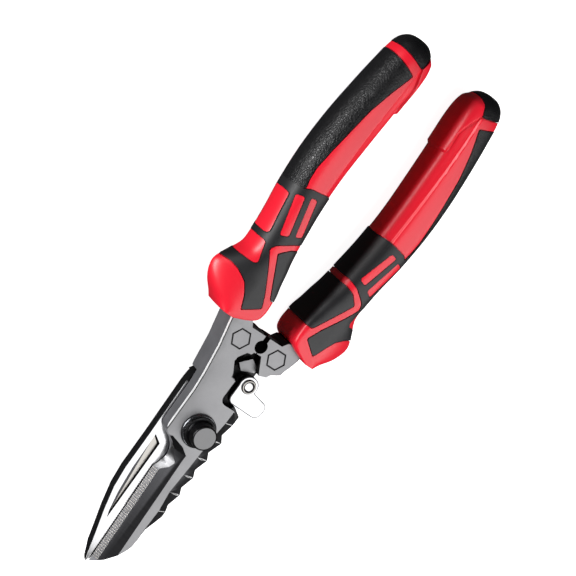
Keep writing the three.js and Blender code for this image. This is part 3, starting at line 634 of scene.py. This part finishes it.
def blade_teeth():
    """Fine transverse teeth on the steep strip behind the front jaw's cutting edge."""
    parts = []
    lean = Matrix.Rotation(-math.atan2(STRIP_SLOPE[1], STRIP_SLOPE[0]), 4, "Y")
    for i in range(TOOTH_COUNT):
        y = FIRST_TOOTH_Y - i * TOOTH_PITCH
        edge = EDGE_START[0] + (y - EDGE_START[1]) * EDGE_SLANT[0] / EDGE_SLANT[1]
        tooth = bmesh.new()
        bmesh.ops.create_cube(tooth, size=1)
        bmesh.ops.scale(tooth, vec=(TOOTH_LENGTH, TOOTH_PITCH * TOOTH_FOOT, TOOTH_HEIGHT),
                        verts=tooth.verts)
        crest = [v for v in tooth.verts if v.co.z > 0]
        bmesh.ops.scale(tooth, vec=(1, TOOTH_CREST, 1), verts=crest)
        bmesh.ops.transform(tooth, matrix=lean, verts=tooth.verts)
        bmesh.ops.translate(tooth, vec=(edge + STRIP_MIDDLE[0], y, STRIP_MIDDLE[1]),
                            verts=tooth.verts)
        parts.append(tooth)
    return joined(parts)


teeth = add_piece("blade_teeth", blade_teeth(), [BRUSHED], 20)
finish_piece(teeth, "front", "blasted_steel")


# ---- what is on the pivot -----------------------------------------------------------------
def turned_piece(name, profile, material, body, slot, node, x=0.0, y=0.0):
    """A turned piece of one finish that stands in for one CAD node."""
    piece = add_piece(name, lathe(profile, x, y), [material], STEEL_CRISP)
    finish_piece(piece, body, slot, node)


turned_piece("shoulder_bolt", [
    (0, BACK), (6.6, BACK), (7.2, BACK + 0.1), (7.8, BACK + 0.5), (8, BACK + 1), (8, -7.1),
    (7.9, -6.9), (7.6, -6.8), (4, -6.8), (4, 6), (3, 6.5), (3, 11.6), (2.6, 12), (0, 12),
], GLOSS_BLACK, "front", "black_oxide", "pivot_bolt")
turned_piece("bolt_head_washer", [
    (4.2, -6.7), (8.3, -6.7), (8.55, -6.6), (8.6, -6.4), (8.55, -6.2), (8.3, -6.1), (4.2, -6.1),
    (4.2, -6.7),
], SPRING, "front", "spring_steel", "head_washer")
turned_piece("knob_collar", [
    (4.2, 6.1), (6.7, 6.1), (6.78, 6.3), (6.75, 6.8), (6.6, 7.05), (6.35, 7.2), (4.2, 7.2),
    (4.2, 6.1),
], SPRING, "front", "spring_steel", "pivot_collar")


def knob_shape():
    """A tapered knob on a thin flange, with a bead under its faced end."""
    knob = lathe([
        (0, 12.3), (3.3, 12.3), (3.3, 7.9), (4.4, 7.3), (6.15, 7.3), (6.25, 7.42), (6.25, 7.95),
        (6.15, 8.15), (5.95, 8.25), (5.3, 8.32), (5.12, 8.45), (5.02, 8.75), (4.85, 12.0),
        (4.92, 12.25), (4.9, 12.6), (4.8, 12.95), (4.66, 13.15), (4.5, 13.1), (4.4, 12.95),
        (4.3, 13.15), (4.2, 13.25), (0, 13.3),
    ], steps=96)
    for face in knob.faces:
        spot = face.calc_center_median()
        radius = math.hypot(spot.x, spot.y)
        # the faced end is satin grey, and the groove round it is painted near-black as shade
        if spot.z > 12.9 and radius < 4.6:
            face.material_index = 1 if radius < 4.24 else 2
    return knob


knob = add_piece("tapered_knob", knob_shape(), [GLOSS_BLACK, KNOB_FACE, OXIDE_AND_SHADE], 40)
finish_piece(knob, "front", "black_oxide", "pivot_knob")

# the torsion spring keeps its own mesh and only takes the drawn wire's finish
frame["nodes"]["torsion_spring"].data.materials.clear()
frame["nodes"]["torsion_spring"].data.materials.append(SPRING)


# ---- lock lever ---------------------------------------------------------------------------
LEVER_X, LEVER_Y = 6.2, 23.5
LEVER_LOW, LEVER_HIGH = 3.4, 5.9
LEVER_ARM = [
    (2.45, 24.6), (2.45, 14.9), (17.7, 14.3), (17.75, 21.1), (15.0, 21.45), (9.6, 22.7),
    (8.5, 26.0),
]
ARM_ROUNDS = ((1, 2.4), (2, 3.2), (3, 2.2))     # corner of the arm, and its radius
BOSS_RADIUS = 3.9
LEVER_BORE = 1.7
RIM_WIDTH, RIM_DROP = 0.3, 0.1                  # the rolled edge round the polished face


def lever_layer(low, high, inset):
    """The outline of the lever, arm and boss, as a plate between two heights."""
    arm = prism(LEVER_ARM, low, high, -inset)
    for index, radius in ARM_ROUNDS:
        corner = [e for e in arm.edges
                  if abs(e.verts[0].co.z - e.verts[1].co.z) > (high - low) / 2
                  and math.dist(e.verts[0].co[:2], LEVER_ARM[index]) < 0.8]
        bmesh.ops.bevel(arm, geom=corner, offset=radius - inset, segments=8, profile=0.5,
                        affect="EDGES", clamp_overlap=True, material=-1)
    edge = BOSS_RADIUS - inset
    boss = lathe([(0, low), (edge, low), (edge, high), (0, high)], LEVER_X, LEVER_Y, 48)
    layer = carved(arm, boss, "UNION")
    boss.free()
    return layer


def lever_shape():
    """A stamped arm and its round boss in one plate: polished faces inside a thin dark rolled
    edge, and sides painted near-black as shade."""
    face_layer = lever_layer(LEVER_HIGH - 0.3, LEVER_HIGH, RIM_WIDTH)
    body_layer = lever_layer(LEVER_LOW, LEVER_HIGH - RIM_DROP, 0)
    lever = carved(body_layer, face_layer, "UNION")
    face_layer.free()
    bore = lathe([(0, 0), (LEVER_BORE, 0), (LEVER_BORE, 9), (0, 9)], LEVER_X, LEVER_Y, 40)
    lever = carved(lever, bore, "DIFFERENCE")
    bore.free()
    bmesh.ops.dissolve_limit(lever, angle_limit=math.radians(0.5), verts=lever.verts,
                             edges=lever.edges)
    lever.normal_update()
    for face in lever.faces:
        height = face.calc_center_median().z
        # upright sides are painted near-black as shade
        if abs(face.normal.z) < 0.5:
            face.material_index = 1
        elif LEVER_LOW + 1 < height < LEVER_HIGH - RIM_DROP / 2:
            face.material_index = 2
    return lever


lever = add_piece("lock_lever_plate", lever_shape(), [POLISHED, OXIDE_AND_SHADE, GROUND],
                  STEEL_CRISP)
finish_piece(lever, "lever", "polished_steel", "lock_lever")
turned_piece("lever_bush", [
    (1.75, 0.15), (3.5, 0.15), (3.6, 0.3), (3.6, 2.55), (3.5, 2.7), (1.75, 2.7), (1.75, 0.15),
], POLISHED, "rear", "polished_steel", "lever_spacer", LEVER_X, LEVER_Y)
turned_piece("lever_spring_washer", [
    (1.95, 2.8), (3.4, 2.8), (3.4, 3.3), (1.95, 3.3), (1.95, 2.8),
], SPRING, "rear", "spring_steel", "lever_wave_washer", LEVER_X, LEVER_Y)


def rivet_shape():
    """A tubular rivet whose rolled rim is painted in rings: a light crest as painted highlight
    and dark slopes as painted shade, round a bright dish.
    """
    rivet = lathe([
        (0, -5.8), (1.5, -5.8), (1.5, 6.0), (2.75, 6.0), (2.85, 6.15), (2.75, 6.4), (2.5, 6.6),
        (2.2, 6.62), (1.95, 6.5), (1.6, 6.3), (1.2, 6.2), (0, 6.22),
    ], LEVER_X, LEVER_Y)
    for face in rivet.faces:
        spot = face.calc_center_median()
        radius = math.dist(spot[:2], (LEVER_X, LEVER_Y))
        # the rim's crest gets the lighter brushed finish as painted highlight, its slopes the
        # dark ground finish as painted shade
        if spot.z > 6.18:
            face.material_index = 0 if 2.1 < radius < 2.6 else int(radius > 1.5) + 1
        elif spot.z > 6:
            face.material_index = 2
    return rivet


rivet = add_piece("lever_rivet_head", rivet_shape(), [BRUSHED, POLISHED, GROUND],
                  STEEL_CRISP)
finish_piece(rivet, "rear", "polished_steel", "lever_rivet")


# ---- grips --------------------------------------------------------------------------------
# Cross-sections of the left grip from its guard to its butt: inner x, y, outer x, y, how
# far across it is thickest, half thickness, and superellipse powers inside and outside.
GRIP_SECTIONS = [
    (-17.8, 42.1, -23.6, 42.1, 0.42, 9.3, 9, 2.6),
    (-12.2, 44.1, -26.8, 44.5, 0.4, 9.8, 9, 2.1),
    (-8.8, 46.3, -30.6, 47.8, 0.4, 10.1, 9, 1.8),
    (-7.8, 49.5, -33, 51.2, 0.4, 10.3, 8.6, 1.6),
    (-7.7, 53, -34, 54.6, 0.4, 10.3, 7.4, 1.5),
    (-7.9, 56.5, -33.2, 57.4, 0.4, 10.3, 6.2, 1.55),
    (-8.5, 60.5, -30.3, 61.4, 0.43, 10.3, 4.4, 1.9),
    (-9.2, 65.5, -27.3, 66, 0.47, 10.3, 3.5, 2.2),
    (-10.1, 71, -26.9, 71.3, 0.5, 10.3, 2.9, 2.3),
    (-11.1, 80, -27.8, 80.5, 0.5, 10.3, 2.6, 2.3),
    (-12.1, 91, -29.5, 91.5, 0.5, 10.3, 2.4, 2.3),
    (-12.6, 105, -30.6, 106, 0.5, 10.3, 2.35, 2.3),
    (-12.2, 120, -30.3, 121, 0.5, 10.3, 2.35, 2.3),
    (-11.4, 136, -28.8, 136.5, 0.5, 10.2, 2.35, 2.3),
    (-10.7, 147, -27.4, 147.5, 0.5, 9.9, 2.4, 2.3),
    (-11, 154, -26.4, 154.3, 0.5, 9.2, 2.4, 2.3),
    (-12.6, 158.3, -24.8, 158.5, 0.5, 7.5, 2.3, 2.3),
    (-15.2, 160.8, -22.2, 160.9, 0.5, 4.6, 2.2, 2.2),
    (-18, 161.5, -19.4, 161.5, 0.5, 0.9, 2, 2),
]
GRIP_AROUND = 200
GRIP_ALONG = 260


def section_at(place):
    """The grip's section at a place along the table, blended smoothly through its rows."""
    last = len(GRIP_SECTIONS) - 1
    start = min(int(place), last - 1)
    t = place - start
    rows = [GRIP_SECTIONS[min(max(start + step, 0), last)] for step in (-1, 0, 1, 2)]
    return [
        b + 0.5 * t * (c - a + t * (2 * a - 5 * b + 4 * c - d + t * (3 * (b - c) + d - a)))
        for a, b, c, d in zip(*rows)
    ]


def smooth_step(low, high, value):
    """0 below low, 1 above high, and a smooth rise between them."""
    t = min(max((value - low) / (high - low), 0.0), 1.0)
    return t * t * (3 - 2 * t)


def relief_at(x, y):
    """Moulded relief on the red inner flank, in millimetres: the flank is cut back from
    a shoulder line, and a raised thumb ledge runs from y = 135 to a point at the butt."""
    fade = smooth_step(94.5, 95.2, y) * (1 - smooth_step(151, 158, y))
    shoulder = -17.6 + 0.9 * ((y - 118) / 30) ** 2
    cut = -0.75 * smooth_step(0, 0.9, x - shoulder) + 0.75 * smooth_step(1.5, 4.8, x - shoulder)
    along = min(max((y - 143) / 14, 0.0), 1.0)
    rim = -13.4 + 0.5 * smooth_step(136, 144, y) - 5 * along ** 1.6
    ledge = 0.85 * smooth_step(134.7, 135.2, y) * smooth_step(rim - 0.15, rim + 0.15, x)
    return fade * cut + ledge * (1 - smooth_step(156, 158.5, y))


def grip_body(proud, relief):
    """The grip as a closed skin, standing this far outside its nominal surface."""
    shape = bmesh.new()
    bmesh.ops.create_grid(shape, x_segments=GRIP_AROUND, y_segments=GRIP_ALONG, size=0.5)
    for vert in shape.verts:
        angle = vert.co.x * math.tau
        row = section_at((vert.co.y + 0.5) * (len(GRIP_SECTIONS) - 1))
        inner = Vector(row[0:2])
        outer = Vector(row[2:4])
        crown, half, square_in, square_out = row[4:8]
        across = math.cos(angle)
        lift = math.sin(angle)
        width = (outer - inner).length
        reach = (crown if across > 0 else 1 - crown) * width
        power = 2 / (square_in if across > 0 else square_out)
        grown = max(reach + proud, reach * 0.2)
        spot = crown - math.copysign(abs(across) ** power, across) * grown / width
        place = inner + (outer - inner) * spot
        height = max(half + proud, half * 0.2)
        z = math.copysign(abs(lift) ** power, lift) * height
        if relief:
            step = relief_at(place.x, place.y)
            place.x += step * across * 0.8
            z += step * math.copysign(abs(lift) ** 0.5, lift)
        vert.co = (place.x, place.y, z)
    bmesh.ops.remove_doubles(shape, verts=shape.verts, dist=0.0005)
    rims = [e for e in shape.edges if len(e.link_faces) == 1]
    bmesh.ops.holes_fill(shape, edges=rims, sides=0)
    bmesh.ops.recalc_face_normals(shape, faces=shape.faces)
    return shape


BESIDE_IN, BESIDE_OUT, PAST_BUTT = 0, -40, 170
WAIST_SLEEVE = [
    (BESIDE_OUT, 57.8), (-32.5, 57.8), (-30.1, 58.2), (-26.8, 57.4), (-22.9, 55.1),
    (-20.3, 51.2), (-18, 46.1), (-11.4, 50.5), (-14, 55.8), (-22.8, 69.9), (-21.5, 72.3),
    (-16.2, 75.8), (-13, 77), (BESIDE_IN, 77.2), (BESIDE_IN, 95.3), (-13, 96.4), (-15.6, 97),
    (-23.6, 95.8), (-25.4, 94.6), (BESIDE_OUT, 91.8),
]
PALM_PAD = [
    (BESIDE_OUT, 91.52), (-25.4, 94.32), (-25.7, 96.2), (-26.2, 98.2), (-26.6, 103),
    (-25.8, 112), (-24.8, 120), (-23.4, 130), (-20.8, 139.8), (-17.6, 148.8), (-22.7, 150.8),
    (-28.6, 152.6), (BESIDE_OUT, 152.8),
]
INNER_PANEL = [
    (BESIDE_IN, 54.6), (-10.6, 54.6), (-19.4, 70.1), (-15.7, 73.6), (-13, 74.6),
    (BESIDE_IN, 74.9),
]
END_CAP = [
    (BESIDE_OUT, 155.8), (-25.4, 155.2), (-22.4, 154.5), (-16, 152.5), (-15, 155.5),
    (-14.6, 157.6), (-12.5, 159.3), (BESIDE_IN, 160.2), (BESIDE_IN, PAST_BUTT),
    (BESIDE_OUT, PAST_BUTT),
]
NECK_WINDOWS = [
    [(-26.8, 91.1), (-23.9, 92.1), (-20, 77.3), (-22.9, 75.9)],
    [(-21.8, 93.1), (-19.2, 93.5), (-15, 79.5), (-17.7, 78.4)],
    [(BESIDE_OUT, 90), (-28.1, 90.1), (-25.6, 75), (-26, 73.7), (BESIDE_OUT, 73.5)],
    [(BESIDE_OUT, 71.2), (-24.9, 71.2), (-23.2, 63.6), (-24, 62.6), (BESIDE_OUT, 61.9)],
]
RUBBER = {
    "waist_sleeve": (WAIST_SLEEVE, SMOOTH),
    "palm_pad": (PALM_PAD, GRAINED),
    "inner_panel": (INNER_PANEL, SMOOTH),
    "end_cap": (END_CAP, GRAINED),
}
SEAM = 0.17       # half the dark seam between rubber and plastic
RUBBER_DEPTH = 0.9
PROUD = 0.14      # the rubber stands this far above the plastic
TANG = [
    (-10, 44.4), (-12.6, 50), (-13.6, 58), (-14.6, 75), (-17.6, 100), (-17.8, 120),
    (-15.8, 146), (-21.4, 147), (-24, 120), (-24, 100), (-22, 75), (-21.6, 58), (-19, 49),
    (-17.4, 44.2),
]
ROOT_SOCKET = [
    (2, 36), (2, 44.8), (-9, 44.8), (-13, 46), (-17.4, 46), (-16.9, 41.2), (-15.6, 36),
]


def deep_prism(outline, grow, corner=0.8):
    """A cutter on an outline that passes right through the grip."""
    return prism(outline, -20, 20, grow, corner)


def grip_shapes():
    """The left grip's red core and its rubber mouldings."""
    bed = grip_body(-RUBBER_DEPTH, False)
    windows = joined([deep_prism(window, SEAM, 0.9) for window in NECK_WINDOWS])
    shapes = {}
    for name, (outline, _) in RUBBER.items():
        pad = carved(grip_body(PROUD, False), deep_prism(outline, -SEAM), "INTERSECT")
        if name == "waist_sleeve":
            pad = carved(pad, windows, "DIFFERENCE")
        shapes[name] = carved(pad, bed, "DIFFERENCE")
    room = joined([deep_prism(outline, SEAM) for name, (outline, _) in RUBBER.items()
                   if name != "palm_pad"])
    palm_room = carved(deep_prism(PALM_PAD, SEAM), bed, "DIFFERENCE")
    inner_windows = joined([deep_prism(window, -0.02, 0.75) for window in NECK_WINDOWS])
    room = carved(room, inner_windows, "DIFFERENCE")
    room = carved(room, bed, "DIFFERENCE")
    core = carved(grip_body(0, True), room, "DIFFERENCE")
    core = carved(core, palm_room, "DIFFERENCE")
    core = carved(core, prism(TANG, -2.9, 2.9, 0.3), "DIFFERENCE")
    core = carved(core, prism(ROOT_SOCKET, -PLATE - 0.3, PLATE + 0.3, 0.3), "DIFFERENCE")
    shapes["grip_core"] = core
    return shapes


def add_grips():
    """The left grip on the front half, and its mirror image on the rear half."""
    left = grip_shapes()
    for side, body in (("left", "front"), ("right", "rear")):
        for name, shape in left.items():
            own = shape.copy()
            if side == "right":
                bmesh.ops.scale(own, vec=(-1, 1, 1), verts=own.verts)
                bmesh.ops.reverse_faces(own, faces=own.faces)
            red = name == "grip_core"
            material = RED if red else RUBBER[name][1]
            piece = add_piece(f"{side}_{name}_moulding", own, [material], 34)
            finish_piece(piece, body, "red_plastic" if red else "black_rubber",
                         f"{side}_{name}")


add_grips()


# ---- stage: pale sweep, soft boxes, camera ----------------------------------------------------
def pale_sweep():
    """A matt white floor whose rim turns up into a backdrop, seen only by the camera so
    that it does not wash out the shadow side of the handles."""
    material, tree, coords = new_material("pale_studio_paper")
    fibre = add_node(tree, "ShaderNodeTexNoise", {"Scale": 40.0}, {"Vector": coords})
    colour = add_node(tree, "ShaderNodeMix", {"data_type": "RGBA", 6: linear("F6F6F6"),
                      7: linear("FBFBFB")}, {0: fibre.outputs["Fac"]})
    shader = add_node(tree, "ShaderNodeBsdfPrincipled",
                      {"Roughness": 0.9, "Emission Color": (1, 1, 1, 1),
                       "Emission Strength": 0.94}, {"Base Color": colour.outputs[2]})
    add_node(tree, "ShaderNodeOutputMaterial", {}, {"Surface": shader.outputs[0]})
    sweep = bmesh.new()
    profile = [(0, -0.0005), (2.4, -0.0005), (2.75, 0.1), (3.0, 0.5), (3.0, 4.0), (0, 4.0)]
    points = [sweep.verts.new((radius, 0, z)) for radius, z in profile]
    edges = [sweep.edges.new(pair) for pair in zip(points, points[1:])]
    bmesh.ops.spin(sweep, geom=points + edges, cent=(0, 0, 0), axis=(0, 0, 1),
                   angle=math.tau, steps=48, use_merge=True)
    bmesh.ops.remove_doubles(sweep, verts=sweep.verts, dist=0.00001)
    for face in sweep.faces:
        face.smooth = True
    mesh = bpy.data.meshes.new("pale_sweep")
    sweep.to_mesh(mesh)
    sweep.free()
    mesh.materials.append(material)
    floor = bpy.data.objects.new("pale_sweep", mesh)
    bpy.context.scene.collection.objects.link(floor)
    floor.visible_diffuse = False
    floor.visible_glossy = False
    floor.visible_shadow = False


def soft_box(name, place, aim, width, height, radiance):
    """A rectangular lamp of a given brightness facing a point."""
    lamp = bpy.data.lights.new(name, "AREA")
    lamp.shape = "RECTANGLE"
    lamp.size = width
    lamp.size_y = height
    lamp.energy = radiance * math.pi * width * height
    thing = bpy.data.objects.new(name, lamp)
    bpy.context.scene.collection.objects.link(thing)
    thing.location = place
    thing.rotation_euler = (Vector(aim) - Vector(place)).to_track_quat("-Z", "Y").to_euler()


def studio():
    """The sweep, a broad lamp overhead, a long low one at the left, and a trace of air."""
    pale_sweep()
    soft_box("top_box", (0.46, -0.14, 0.62), (0, -0.03, 0), 0.78, 1.3, 2.75)
    soft_box("left_key", (-0.85, -0.1, 0.1), (0, 0.0, 0.01), 0.62, 0.16, 27.0)
    world = bpy.data.worlds.new("studio_air")
    bpy.context.scene.world = world
    world.use_nodes = True
    world.node_tree.nodes["Background"].inputs["Color"].default_value = (1, 1, 1, 1)
    world.node_tree.nodes["Background"].inputs["Strength"].default_value = 0.04
    bpy.context.scene.view_settings.view_transform = "Standard"


VIEW_SWING = math.radians(30)    # camera off the plate's normal towards the left handle
VIEW_TILT = math.radians(4)
VIEW_ROLL = math.radians(53.58)
VIEW_DISTANCE = 0.69
VIEW_AIM = Vector((-0.00185, 0.0127, 0.0103))
LENS_MM = 118.15


def camera():
    """A long lens aimed at the middle of the pliers, rolled so that they lie diagonally."""
    towards = Vector((-math.sin(VIEW_SWING) * math.cos(VIEW_TILT), math.sin(VIEW_TILT),
                      math.cos(VIEW_SWING) * math.cos(VIEW_TILT)))
    level = Vector((0, 1, 0))
    level = (level - towards * level.dot(towards)).normalized()
    side = level.cross(towards)
    right = level * math.cos(VIEW_ROLL) + side * math.sin(VIEW_ROLL)
    up = level * math.sin(VIEW_ROLL) - side * math.cos(VIEW_ROLL)
    data = bpy.data.cameras.new("studio_camera")
    data.lens = LENS_MM
    data.sensor_width = 36
    data.clip_start = 0.01
    thing = bpy.data.objects.new("studio_camera", data)
    bpy.context.scene.collection.objects.link(thing)
    turn = Matrix((right, up, towards)).transposed().to_4x4()
    thing.matrix_world = Matrix.Translation(VIEW_AIM + towards * VIEW_DISTANCE) @ turn
    bpy.context.scene.camera = thing


studio()
camera()

bpy.context.view_layer.update()
